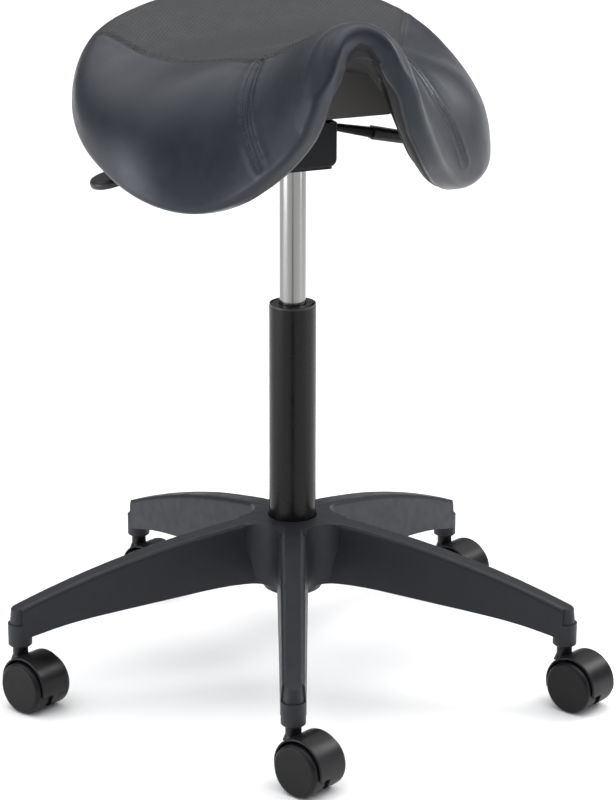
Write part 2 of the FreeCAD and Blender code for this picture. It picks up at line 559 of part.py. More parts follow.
# ---------------------------------------------------------------- castors
def castor_parts():
    # built with the stem on the origin, trailing towards +X, axle along Y
    cx, cz = TRAIL - 0.8, WHEEL_R + 0.8
    hood = Part.makeCylinder(HOOD_R, 2 * HOOD_HALF, V(cx, -HOOD_HALF, cz), V(0, 1, 0))
    hood = soften(hood, lambda e: True, 1.2)
    web = Part.makeCylinder(HOOD_R, 8.4, V(cx, -4.2, cz), V(0, 1, 0))
    inner = Part.makeCylinder(HOOD_R - HOOD_WALL, 2 * HOOD_HALF + 4, V(cx, -HOOD_HALF - 2, cz), V(0, 1, 0))
    shell = hood.cut(inner)
    shell = shell.cut(block(-60, 90, -40, 40, -20, 20.5))
    shell = shell.cut(block(cx - 5, 90, -40, 40, -20, 22.8))
    middle = web.cut(block(-60, 90, -10, 10, -20, 13.0))
    # the web stays behind the wheels' treads at the floor
    hood = shell.fuse(middle)
    neck = cyl(8.2, 40, 63.6).fuse(cone(11.5, 8.2, 46, 55.0))
    neck = neck.cut(block(-40, 40, -40, -4.2, 0, 50.2)).cut(block(-40, 40, 4.2, 40, 0, 50.2))
    neck = neck.cut(Part.makeCylinder(HOOD_R - HOOD_WALL, 60, V(cx, -30, cz), V(0, 1, 0)))
    boss = cyl(8.2, 30, 60).common(block(-20, 20, -4.2, 4.2, 20, 70))
    hood = hood.fuse(neck).fuse(boss)
    # stem seat runs down inside the web
    hood = hood.cut(cyl(3.6, 40, 70))
    hood = hood.cut(cyl(CASTOR_STEM_R, 50, 70))
    axle_hole = Part.makeCylinder(AXLE_R, 40, V(TRAIL, -20, WHEEL_R), V(0, 1, 0))
    hood = hood.cut(axle_hole).removeSplitter()
    stem = cyl(3.6, 40, 50.5).fuse(cyl(CASTOR_STEM_R, 50, 92)).removeSplitter()
    stem = soften(stem, lambda e: e.BoundBox.ZMin > 91.9, 1.5)
    stem = stem.cut(tube(8, 4.6, 84.5, 87.0))
    axle = Part.makeCylinder(AXLE_R, 38, V(TRAIL, -19, WHEEL_R), V(0, 1, 0))
    axle = soften(axle, lambda e: True, 0.4)
    # wheel: rounded tread edge, shallow dished hub face, blind bore
    R, o, i = WHEEL_R, WHEEL_OUT, WHEEL_IN
    prof = [V(0, 0, i), V(R - 1.0, 0, i), V(R, 0, i + 1.0), V(R, 0, o - 4.2)]
    e = [Part.makeLine(prof[0], prof[1]), Part.makeLine(prof[1], prof[2]), Part.makeLine(prof[2], prof[3])]
    a0 = V(R, 0, o - 4.2)
    am = V(R - 4.2 * (1 - math.cos(math.radians(45))), 0, o - 4.2 + 4.2 * math.sin(math.radians(45)))
    a1 = V(R - 4.2, 0, o)
    e.append(Part.Arc(a0, am, a1).toShape())
    e.append(Part.makeLine(a1, V(0, 0, o)))
    e.append(Part.makeLine(V(0, 0, o), V(0, 0, i)))
    wheel = Part.Face(Part.Wire(e)).revolve(V(0, 0, 0), V(0, 0, 1), 360)
    wheel = wheel.cut(cyl(AXLE_R + RUN, i - 1, 19.6))
    wheel = wheel.cut(tube(22.5, 8.0, i - 1, 13.0).cut(block(-30, 30, -1.2, 1.2, 0, 20)).cut(block(-1.2, 1.2, -30, 30, 0, 20)))
    right = wheel.copy()
    right.rotate(V(0, 0, 0), V(1, 0, 0), -90)
    left = right.mirror(V(0, 0, 0), V(0, 1, 0))
    for w in (left, right):
        w.translate(V(TRAIL, 0, WHEEL_R))
    return hood, stem, axle, left, right


hood, stem, axle, wl, wr = castor_parts()
for k, a in enumerate(ARM_ANGLES):
    px = STEM_R * math.cos(math.radians(a))
    py = STEM_R * math.sin(math.radians(a))
    for name, shape in (("hood", hood), ("stem", stem), ("axle", axle), ("wheel_left", wl), ("wheel_right", wr)):
        s = spin(shape, TRAIL_ANGLE)
        s.translate(V(px, py, 0))
        save("castor_%d_%s" % (k + 1, name), s)

print(len(DONE), "nodes")
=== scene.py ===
import bpy
import json
import math
import numpy as np
from mathutils import Matrix, Vector


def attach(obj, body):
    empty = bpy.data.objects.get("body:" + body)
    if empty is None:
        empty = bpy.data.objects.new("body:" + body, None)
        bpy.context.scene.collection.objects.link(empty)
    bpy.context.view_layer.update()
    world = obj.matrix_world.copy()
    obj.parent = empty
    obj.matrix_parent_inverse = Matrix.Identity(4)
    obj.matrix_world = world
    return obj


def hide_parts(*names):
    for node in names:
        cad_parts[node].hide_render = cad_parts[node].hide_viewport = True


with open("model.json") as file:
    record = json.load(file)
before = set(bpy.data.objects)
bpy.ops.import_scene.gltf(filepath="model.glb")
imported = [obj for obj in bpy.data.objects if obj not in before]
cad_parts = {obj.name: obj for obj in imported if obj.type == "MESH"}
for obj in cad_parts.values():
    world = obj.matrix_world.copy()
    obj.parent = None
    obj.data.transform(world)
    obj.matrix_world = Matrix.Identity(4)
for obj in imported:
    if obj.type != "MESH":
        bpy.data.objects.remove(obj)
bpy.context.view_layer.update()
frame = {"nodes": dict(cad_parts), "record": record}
nodes = frame["nodes"]
MM = 0.001

# ------------------------------------------------------------------ seat form
RIM = [(0, -180, 726), (13, -182, 719.5), (26, -185.5, 702), (37, -188, 685), (48, -188.5, 667), (87, -166, 603), (119, -134, 566), (153, -106, 553),
       (190, -72, 561), (212, -26, 579), (221, 27, 606), (211, 80, 644), (174, 120, 679),
       (125, 141, 696), (85, 161, 701), (43, 173, 702), (0, 175, 704)]
CEN_Y = [-190, -166, -134, -106, -90, -70, -36, 0, 33, 64, 100, 120, 150, 176]
CEN_Z = [722, 724, 717, 707, 700, 692, 681, 674, 674.5, 678, 688, 694, 702, 704]
SEC_Y = [-192, -176, -153, -122, -94, -70, -36, 0, 64, 110, 140, 176]
SEC_A = [0.64, 0.62, 0.46, 0.42, 0.43, 0.50, 0.58, 0.60, 0.58, 0.50, 0.45, 0.40]
SEC_C = [0.93, 0.92, 0.80, 0.80, 0.89, 0.95, 0.976, 0.977, 0.972, 0.95, 0.90, 0.85]
SEC_D = [0.72, 0.70, 0.50, 0.44, 0.56, 0.62, 0.67, 0.70, 0.72, 0.80, 0.80, 0.80]
HALF = 16.0


def cubic(xs, ys, x):
    """Smooth Catmull-Rom style interpolation of a table."""
    xs, ys = np.array(xs, float), np.array(ys, float)
    m = np.gradient(ys, xs)
    x = np.clip(x, xs[0], xs[-1])
    i = np.clip(np.searchsorted(xs, x) - 1, 0, len(xs) - 2)
    h = xs[i + 1] - xs[i]
    t = (x - xs[i]) / h
    return ((2 * t ** 3 - 3 * t ** 2 + 1) * ys[i] + (t ** 3 - 2 * t ** 2 + t) * h * m[i]
            + (-2 * t ** 3 + 3 * t ** 2) * ys[i + 1] + (t ** 3 - t ** 2) * h * m[i + 1])


def closed_spline(P, per):
    """Periodic cubic spline through points P, about per mm between samples."""
    P = np.array(P, float)
    n = len(P)
    h = np.linalg.norm(np.roll(P, -1, 0) - P, axis=1)
    A = np.zeros((n, n))
    B = np.zeros((n, 3))
    for k in range(n):
        a, b = h[k - 1], h[k]
        A[k, (k - 1) % n] = a
        A[k, k] = 2 * (a + b)
        A[k, (k + 1) % n] = b
        B[k] = 6 * ((P[(k + 1) % n] - P[k]) / b - (P[k] - P[k - 1]) / a)
    M = np.linalg.solve(A, B)
    out = []
    for k in range(n):
        m = max(4, int(h[k] / per))
        t = np.linspace(0, h[k], m, endpoint=False)[:, None]
        q = (k + 1) % n
        out.append(M[k] * (h[k] - t) ** 3 / (6 * h[k]) + M[q] * t ** 3 / (6 * h[k])
                   + (P[k] / h[k] - M[k] * h[k] / 6) * (h[k] - t) + (P[q] / h[k] - M[q] * h[k] / 6) * t)
    return np.vstack(out)


def rim_core(count):
    """Middle of the rounded edge on the sitter's left, front to rear, evenly spaced."""
    loop = RIM + [(-x, y, z) for x, y, z in RIM[-2:0:-1]]
    c = closed_spline(loop, 1.0)
    d = np.roll(c, -1, 0) - np.roll(c, 1, 0)
    n = np.hypot(d[:, 0], d[:, 1])
    nx, ny = d[:, 1] / n, -d[:, 0] / n
    lift = 9.0 * np.clip((640.0 - c[:, 2]) / 60.0, 0, 1)
    core = np.stack([c[:, 0] - HALF * nx, c[:, 1] - HALF * ny, c[:, 2] + lift], 1)
    k = int(np.argmax(c[:, 1] - 1e3 * (np.abs(c[:, 0]) > 0.6)))
    core = core[:k + 1]
    core[0, 0] = core[-1, 0] = 0.0
    for _ in range(6):
        core[1:-1] = 0.5 * core[1:-1] + 0.25 * (core[:-2] + core[2:])
    acc = np.concatenate([[0], np.cumsum(np.linalg.norm(np.diff(core, axis=0), axis=1))])
    s = np.linspace(0, acc[-1], count)
    return np.stack([np.interp(s, acc, core[:, q]) for q in range(3)], 1), s


def mid_surface(rows, cols):
    """Grid (rows, cols, 3) of the seat's middle surface; columns run from -X to +X."""
    core, s = rim_core(rows)
    w, yr, zr = core.T
    front = yr < -60
    yc = np.where(front, np.interp(w, [0, 44, 78, 106, 138, 170], [-164, -157, -140, -118, -93.5, -62]), yr)
    rear = (yr > 60)
    yc = np.where(rear, np.interp(-w, [-196, -160, -115, -75, -38, 0], [64, 96, 112, 128, 144, 159]), yc)
    k0, k1 = np.argmax(~front), len(yr) - np.argmax(~rear[::-1])
    hk = max(2, rows // 32)
    ker = np.ones(2 * hk + 1) / (2 * hk + 1)
    pad = np.concatenate([2 * yc[0] - yc[hk:0:-1], yc, 2 * yc[-1] - yc[-2:-hk - 2:-1]])
    yc = np.convolve(pad, ker, "valid")
    yc[0], yc[-1] = yr[0], yr[-1]
    ym = 0.5 * (yc + yr)
    zc = cubic(CEN_Y, CEN_Z, yc)
    zr = zr.copy()
    zr[0], zr[-1] = zc[0], zc[-1]
    a, c, d = cubic(SEC_Y, SEC_A, ym), cubic(SEC_Y, SEC_C, ym), cubic(SEC_Y, SEC_D, ym)
    tt = np.linspace(-1, 1, cols)
    t = np.abs(tt)[None, :]
    sg = np.sign(tt)[None, :]
    W, ZC, ZE, A, C, D = [q[:, None] for q in (w, zc, zr, a, c, d)]
    u = 1 - t
    x = 3 * u * u * t * A * W + 3 * u * t * t * C * W + t ** 3 * W
    z = u ** 3 * ZC + 3 * u * u * t * ZC + 3 * u * t * t * (ZE + D * (ZC - ZE)) + t ** 3 * ZE
    y = yc[:, None] + (yr - yc)[:, None] * t ** 2
    return np.stack([x * sg, y + 0 * x, z], 2)


def grid_normals(P):
    di = np.gradient(P, axis=0)
    dj = np.gradient(P, axis=1)
    n = np.cross(dj, di)
    ln = np.linalg.norm(n, axis=2, keepdims=True)
    n = n / np.maximum(ln, 1e-9)
    n[n[:, :, 2].mean() < 0] *= 1
    if n[:, :, 2].mean() < 0:
        n = -n
    # close to the front and rear points the rows run along the rim, so there the
    # normal is taken from a full row at the same distance from the middle line
    w = P[:, -1, 0]
    for idx, wide in ((np.arange(len(w) // 2), 34.0), (np.arange(len(w) - 1, len(w) // 2, -1), 60.0)):
        k = idx[int(np.argmax(w[idx] > wide))]
        for i in idx:
            if i == k:
                break
            g = min(1.0, w[i] / wide)
            g = g * g * (3 - 2 * g) if w[i] > 0.7 * wide else 0.0
            fit = np.stack([np.interp(P[i, :, 0], P[k, :, 0], n[k, :, q]) for q in range(3)], 1)
            n[i] = (1 - g) * fit + g * n[i]
    n /= np.linalg.norm(n, axis=2, keepdims=True)
    return n


def pad_grid(rows, cols, arc):
    """Closed pad as rings: top -X to +X, +X edge, underside back, -X edge. Returns
    the points (rows, ring, 3), outward normals and a 0..1 place down the edge."""
    P = mid_surface(rows, cols)
    N = grid_normals(P)
    top = P + HALF * N
    keep = 14.5 + 0 * P[:, :, 0]
    under = P - keep[:, :, None] * N
    # the inside of the tight arch is eased so that it doesn't fold over itself
    for _ in range(40):
        m = under.copy()
        m[1:-1, 1:-1] = 0.25 * (under[:-2, 1:-1] + under[2:, 1:-1] + under[1:-1, :-2] + under[1:-1, 2:])
        wgt = np.clip((-60 - P[:, :, 1]) / 60, 0, 1)[:, :, None] * 0.8 + 0.1
        edge = np.minimum(np.arange(cols), np.arange(cols)[::-1])[None, :, None]
        under = under + (m - under) * wgt * np.clip(edge / 6.0, 0, 1)
    ph = np.linspace(0, math.pi, arc + 2)[1:-1]
    # the upper corner is tight, and the lower one is round
    e = np.where(ph < math.pi / 2, 0.50, 1.0)
    cs = np.sign(np.cos(ph)) * np.abs(np.cos(ph)) ** e
    sn = np.abs(np.sin(ph)) ** e
    rings, norms = [], []

    def side(j):
        T = np.gradient(P[:, j], axis=0)
        n = N[:, j]
        m = np.cross(T, n) * (1 if j == 0 else -1)
        m /= np.maximum(np.linalg.norm(m, axis=1, keepdims=True), 1e-9)
        if (m[rows // 2, 0] > 0) != (j != 0):
            m = -m
        m[0], m[-1] = np.array([0, -1.0, 0]), np.array([0, 1.0, 0])
        m[0] -= n[0] * (m[0] @ n[0])
        m[-1] -= n[-1] * (m[-1] @ n[-1])
        m[0] /= np.linalg.norm(m[0])
        m[-1] /= np.linalg.norm(m[-1])
        down = np.where(cs > 0, HALF, 14.5)
        pts = P[:, j][:, None] + n[:, None] * (cs * down)[None, :, None] + m[:, None] * (HALF * sn)[None, :, None]
        nn = n[:, None] * np.cos(ph)[None, :, None] + m[:, None] * np.sin(ph)[None, :, None]
        return pts, nn

    rp, rn = side(cols - 1)
    lp, ln = side(0)
    ring = np.concatenate([top, rp, under[:, ::-1], lp[:, ::-1]], 1)
    nrm = np.concatenate([N, rn, -N[:, ::-1], ln[:, ::-1]], 1)
    down = np.concatenate([np.zeros(cols), ph / math.pi, np.ones(cols), (ph / math.pi)[::-1]])
    return ring, nrm, down


# ------------------------------------------------------------------ seams
def smooth_line(pts, step):
    P = np.array(pts, float)
    for _ in range(3):      # corner cutting keeps the ends
        Q = [P[0]]
        for a, b in zip(P[:-1], P[1:]):
            Q += [0.75 * a + 0.25 * b, 0.25 * a + 0.75 * b]
        Q.append(P[-1])
        P = np.array(Q)
    acc = np.concatenate([[0], np.cumsum(np.linalg.norm(np.diff(P, axis=0), axis=1))])
    s = np.linspace(0, acc[-1], max(2, int(acc[-1] / step)))
    return np.stack([np.interp(s, acc, P[:, q]) for q in range(P.shape[1])], 1)


SEAM_SIDE = [(178, 118), (175, 111), (151, 64), (135, 33), (118, -2), (100, -36), (83, -70), (73, -90)]
SEAM_DOWN = {-1: [(-72, -90, 697), (-87, -102, 678), (-98, -116, 652), (-100, -132, 625), (-97, -147, 609), (-95, -158, 596)],
             1: [(72, -90, 697), (88, -93, 684), (98, -101, 666), (112, -109, 643), (131, -107, 615), (142, -110, 589), (146, -113, 578)]}
SEAM_FRONT = [(72, -90, 697), (55, -98, 707), (42, -109, 714), (25, -122, 725), (8, -128, 731), (0, -129, 732),
              (-8, -128, 731), (-25, -122, 725), (-42, -109, 714), (-55, -98, 707), (-72, -90, 697)]

# ------------------------------------------------------------------ upholstered pad
def snap_line(points, top, nrm, side=1.0):
    """A seam's samples moved onto the top surface, smoothed, with arc length, tangents and normals."""
    L = smooth_line([tuple(p) for p in points], 2.0)
    L[:, 0] *= side
    flat = top.reshape(-1, 3)
    nf = nrm.reshape(-1, 3)
    k = L.shape[1]
    idx = [int(np.argmin(((flat[:, :k] - p) ** 2).sum(1) + (0 if k == 3 else 1) * np.clip(680 - flat[:, 2], 0, 99) ** 2 * 0.02)) for p in L]
    Q, M = flat[idx].copy(), nf[idx].copy()
    for _ in range(6):
        Q[1:-1] = 0.5 * Q[1:-1] + 0.25 * (Q[:-2] + Q[2:])
        M[1:-1] = 0.5 * M[1:-1] + 0.25 * (M[:-2] + M[2:])
    acc = np.concatenate([[0], np.cumsum(np.linalg.norm(np.diff(Q, axis=0), axis=1))])
    s = np.arange(0, acc[-1], 0.7)
    Q = np.stack([np.interp(s, acc, Q[:, q]) for q in range(3)], 1)
    M = np.stack([np.interp(s, acc, M[:, q]) for q in range(3)], 1)
    M /= np.linalg.norm(M, axis=1, keepdims=True)
    T = np.gradient(Q, axis=0)
    T /= np.linalg.norm(T, axis=1, keepdims=True)
    return {"P": Q, "N": M, "T": T, "s": s, "B": np.cross(M, T)}


def near(line, pts, reach):
    """For points within reach of the line: their index, distance, arc length and signed side."""
    lo, hi = line["P"].min(0) - reach, line["P"].max(0) + reach
    sel = np.where(((pts > lo) & (pts < hi)).all(1))[0]
    d = np.full(len(sel), 1e9)
    k = np.zeros(len(sel), int)
    for c in range(0, len(sel), 20000):
        q = pts[sel[c:c + 20000]]
        D = ((q[:, None] - line["P"][None]) ** 2).sum(2)
        k[c:c + 20000] = D.argmin(1)
        d[c:c + 20000] = np.sqrt(D.min(1))
    ok = d < reach
    sel, d, k = sel[ok], d[ok], k[ok]
    side = ((pts[sel] - line["P"][k]) * line["B"][k]).sum(1)
    return sel, d, line["s"][k], np.sign(side)


def seams_on(top, nrm):
    out = []
    for sx in (1, -1):
        out.append(("single", snap_line(SEAM_SIDE, top, nrm, sx)))
        out.append(("double", snap_line(SEAM_DOWN[sx], top, nrm, 1)))
    out.append(("single", snap_line(SEAM_FRONT, top, nrm, 1)))
    return out


def grid_faces(rows, ring):
    i = np.arange(rows - 1)[:, None]
    j = np.arange(ring)[None, :]
    jn = (j + 1) % ring
    f = np.stack([i * ring + j, i * ring + jn, (i + 1) * ring + jn, (i + 1) * ring + j], 2)
    return f.reshape(-1, 4)


def new_mesh(name, verts, faces, smooth=True):
    me = bpy.data.meshes.new(name)
    faces = np.asarray(faces, np.int32)
    n = faces.shape[1]
    me.vertices.add(len(verts))
    me.vertices.foreach_set("co", np.asarray(verts, np.float32).ravel())
    me.loops.add(faces.size)
    me.loops.foreach_set("vertex_index", faces.ravel())
    me.polygons.add(len(faces))
    me.polygons.foreach_set("loop_start", np.arange(0, faces.size, n, dtype=np.int32))
    me.polygons.foreach_set("loop_total", np.full(len(faces), n, np.int32))
    me.update(calc_edges=True)
    if smooth:
        me.polygons.foreach_set("use_smooth", np.ones(len(faces), bool))
    ob = bpy.data.objects.new(name, me)
    bpy.context.scene.collection.objects.link(ob)
    return ob


def puff(rows, cols, arc):
    """How far the cover swells between its seams, from a cloth simulation of the pad
    held at its underside and seams: one height per point of the top, in millimetres."""
    ring, nrm, down = pad_grid(rows, cols, arc)
    top, tn = ring[:, :cols], nrm[:, :cols]
    flat = ring.reshape(-1, 3)
    ob = new_mesh("puff_tmp", flat * MM, grid_faces(rows, ring.shape[1]))
    hold = np.zeros(flat.shape[0], bool)
    hold.reshape(rows, -1)[:, down > 0.45] = True
    hold.reshape(rows, -1)[:2] = True
    hold.reshape(rows, -1)[-2:] = True
    for _, line in seams_on(top, tn):
        sel, d, s, side = near(line, flat, 4.5)
        hold[sel] = True
    vg = ob.vertex_groups.new(name="hold")
    vg.add([int(v) for v in np.where(hold)[0]], 1.0, "ADD")
    m = ob.modifiers.new("cloth", "CLOTH")
    st = m.settings
    st.quality = 6
    st.mass = 0.35
    st.tension_stiffness = 18
    st.compression_stiffness = 18
    st.shear_stiffness = 6
    st.bending_stiffness = 0.8
    st.use_pressure = True
    st.uniform_pressure_force = 4.0
    st.vertex_group_mass = "hold"
    st.effector_weights.gravity = 0.0
    m.collision_settings.use_collision = False
    sc = bpy.context.scene
    for k in range(1, 21):
        sc.frame_set(k)
    ev = ob.evaluated_get(bpy.context.evaluated_depsgraph_get())
    co = np.zeros(len(flat) * 3, np.float32)
    ev.data.vertices.foreach_get("co", co)
    sc.frame_set(1)
    off = ((co.reshape(-1, 3) / MM - flat) * nrm.reshape(-1, 3)).sum(1).reshape(rows, -1)[:, :cols]
    bpy.data.objects.remove(ob)
    return np.clip(off, -1.0, 5.0)


def resample(G, rows, cols):
    i = np.linspace(0, G.shape[0] - 1, rows)
    j = np.linspace(0, G.shape[1] - 1, cols)
    a = np.array([np.interp(j, np.arange(G.shape[1]), r) for r in G])
    return np.array([np.interp(i, np.arange(G.shape[0]), c) for c in a.T]).T


ROWS, COLS, ARC = ((400, 361, 25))
ring, nrm, down = pad_grid(ROWS, COLS, ARC)
top, tn = ring[:, :COLS], nrm[:, :COLS]
lines = seams_on(top, tn)
swell = np.zeros((ROWS, COLS))
swell = resample(puff(96, 97, 7), ROWS, COLS) * 0.6
ringn = ring.shape[1]
pts = ring.reshape(-1, 3)
nn = nrm.reshape(-1, 3)
H = np.zeros((ROWS, ringn))
H[:, :COLS] = swell
fade = np.clip(1 - down / 0.45, 0, 1)
H[:, COLS:COLS + ARC] = swell[:, -1:] * fade[None, COLS:COLS + ARC]
H[:, 2 * COLS + ARC:] = swell[:, :1] * fade[None, 2 * COLS + ARC:]
H = H.ravel()
PITCH = 4.3
ROW_AT = {"single": 3.4, "double": 5.2}
for kind, line in lines:
    sel, d, s, side = near(line, pts, 16.0)
    ok = (np.tile(down, ROWS)[sel] < 0.6)
    sel, d, s, side = sel[ok], d[ok], s[ok], side[ok]
    at = ROW_AT[kind]
    H[sel] += -(1.9 if kind == "double" else 1.4) * np.exp(-(d / 1.2) ** 2) + 0.55 * np.exp(-((d - at - 3.5) / 4.2) ** 2)
    on = np.ones(len(sel)) if kind == "double" else (side > 0) * 1.0
    H[sel] += -on * 0.75 * np.exp(-((d - at) / 1.0) ** 2)
    H[sel] += on * 0.10 * np.cos(2 * math.pi * s / PITCH) * np.exp(-((d - at) / 2.2) ** 2)
    H[sel] += 0.07 * np.sin(2 * math.pi * s / 11.3 + 1.1 * np.sin(s / 17.0)) * np.exp(-((d - at - 2.2) / 3.5) ** 2)
# welt round the lower part of the edge, and the small gathers at the tight front crest
dn = np.tile(down, ROWS)
ri = np.repeat(np.linspace(0, 1, ROWS), ringn)
H += -1.3 * np.exp(-((dn - 0.64) / 0.022) ** 2) + 0.5 * np.exp(-((dn - 0.56) / 0.05) ** 2)
ang = np.arctan2(pts[:, 0], np.maximum(pts[:, 2] - 668.0, 1.0))
crest = np.clip((-128 - pts[:, 1]) / 24, 0, 1) * np.clip(1 - np.abs(ang) / 1.15, 0, 1)
H += 0.55 * crest * np.exp(-((dn - 0.62) / 0.16) ** 2) * np.sin(ang * 44 + 1.5 * np.sin(ang * 9))
rng = np.random.default_rng(4)
slow = np.zeros(len(pts))
for k in range(14):
    kx = rng.normal(0, 1, 3)
    kx *= (0.02 + 0.05 * rng.random()) / np.linalg.norm(kx)
    slow += np.sin(pts @ kx + rng.random() * 6.28)
H += 0.10 * slow / 3.0
pts = pts + nn * H[:, None]

# the front and rear points, where all rows meet, are eased into one even surface
G = pts.reshape(ROWS, ringn, 3)


def ease(G, rows_, centre, reach, times):
    sub = G[rows_].reshape(-1, 3)
    wgt = np.clip(1 - np.linalg.norm(sub - centre, axis=1) / reach, 0, 1)
    keys = np.round(sub / 0.02).astype(np.int64)
    _, inv = np.unique(keys, axis=0, return_inverse=True)
    inv = inv.ravel()
    n = inv.max() + 1
    f = grid_faces(len(rows_), ringn)
    e = np.concatenate([f[:, [0, 1]], f[:, [1, 2]], f[:, [2, 3]], f[:, [3, 0]]])
    e = inv[e]
    e = e[e[:, 0] != e[:, 1]]
    e = np.unique(np.sort(e, axis=1), axis=0)
    cnt = np.bincount(inv, minlength=n)
    q = np.stack([np.bincount(inv, sub[:, k], n) / cnt for k in range(3)], 1)
    w = np.bincount(inv, wgt, n) / cnt
    w = np.clip(w * 3, 0, 1)[:, None]
    deg = np.bincount(e.ravel(), minlength=n)[:, None]
    fixed = np.bincount(inv, (np.repeat(np.arange(len(rows_)), ringn) == len(rows_) - 1) * 1.0, n) > 0
    w[fixed] = 0
    for _ in range(times):
        a = np.stack([np.bincount(e[:, 0], q[e[:, 1], k], n) + np.bincount(e[:, 1], q[e[:, 0], k], n) for k in range(3)], 1)
        q = q + (a / np.maximum(deg, 1) - q) * w * 0.7
    G[rows_] = q[inv].reshape(len(rows_), ringn, 3)


k_ = ROWS // 8
ease(G, np.arange(k_), G[0].mean(0), 34.0, 40)
ease(G, np.arange(ROWS - 1, ROWS - 1 - k_, -1), G[-1].mean(0), 34.0, 40)
pts = G.reshape(-1, 3)

# which panel each face belongs to
faces = grid_faces(ROWS, ringn)
cen = pts[faces].mean(1)


def inside(poly, x, y):
    poly = np.array(poly, float)
    r = np.zeros(len(x), bool)
    for a, b in zip(poly, np.roll(poly, -1, 0)):
        c = ((a[1] > y) != (b[1] > y)) & (x < (b[0] - a[0]) * (y - a[1]) / (b[1] - a[1] + 1e-9) + a[0])
        r ^= c
    return r


side_pts = {}
border = [tuple(p[:2]) for p in lines[0][1]["P"]]
front = [tuple(p[:2]) for p in lines[4][1]["P"]]
other = [tuple(p[:2]) for p in lines[2][1]["P"]][::-1]
poly = border + front + other + [(-240, 150), (-240, 240), (240, 240), (240, 150)]
fj = np.tile(np.arange(ringn), ROWS - 1)
fdown = down[fj]
is_top = fdown < 0.4
midx = np.zeros(len(faces), np.int32)
midx[is_top & inside(poly, cen[:, 0], cen[:, 1]) & (cen[:, 2] > 655)] = 1
midx[fdown > 0.645] = 2

cover = new_mesh("seat_cover", pts * MM, faces)
cover.data.polygons.foreach_set("material_index", midx)


def weld(ob, dist=2e-5):
    import bmesh
    bm = bmesh.new()
    bm.from_mesh(ob.data)
    bmesh.ops.remove_doubles(bm, verts=bm.verts, dist=dist)
    bmesh.ops.recalc_face_normals(bm, faces=bm.faces)
    bm.to_mesh(ob.data)
    bm.free()


weld(cover)
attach(cover, "seat")
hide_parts("seat_cushion")


# ------------------------------------------------------------------ stitches
def capsule(sides=6):
    v, f = [], []
    prof = [(-1.0, 0.0), (-0.86, 0.62), (-0.5, 0.95), (0.0, 1.0), (0.5, 0.95), (0.86, 0.62), (1.0, 0.0)]
    for x, r in prof[1:-1]:
        for k in range(sides):
            a = 2 * math.pi * k / sides
            v.append((x, r * math.cos(a), r * math.sin(a)))
    for r in range(4):
        for k in range(sides):
            a, b = r * sides + k, r * sides + (k + 1) % sides
            f.append((a, b, b + sides, a + sides))
    return np.array(v), np.array(f)


CV, CF = capsule()


def stitches(name, rows_of, half=1.55, rad=0.42):
    V_, F_, n = [], [], 0
    for line, offset in rows_of:
        s_at = np.arange(PITCH / 2, line["s"][-1] - 2, PITCH)
        for s in s_at:
            k = int(np.searchsorted(line["s"], s))
            k = min(max(k, 1), len(line["s"]) - 2)
            p = line["P"][k] + line["B"][k] * offset
            q = ((top.reshape(-1, 3) - p) ** 2).sum(1) if False else None
            T, N, B = line["T"][k], line["N"][k], line["B"][k]
            base = p + N * stitch_lift(p, N)
            V_.append(base + CV[:, :1] * half * T + CV[:, 1:2] * rad * 1.1 * B + CV[:, 2:3] * rad * N
                      - N * (0.22 * CV[:, :1] ** 2))
            F_.append(CF + n)
            n += len(CV)
    ob = new_mesh(name, np.vstack(V_) * MM, np.vstack(F_))
    return ob


from mathutils.bvhtree import BVHTree
tree = BVHTree.FromPolygons([tuple(p) for p in pts[:, :].tolist()] if False else (pts * 1.0).tolist(),
                            faces[is_top].tolist()) if True else None


def stitch_lift(p, N):
    """Height of the cover over p along N, in millimetres."""
    hit = tree.ray_cast(Vector(p + N * 8.0), Vector(-N), 16.0)
    return 8.0 - hit[3] + 0.24 if hit[0] is not None else 0.0


rows_of = []
for kind, line in lines:
    rows_of.append((line, ROW_AT[kind]))
    if kind == "double":
        rows_of.append((line, -ROW_AT[kind]))
thread = stitches("seat_stitching", rows_of)
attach(thread, "seat")

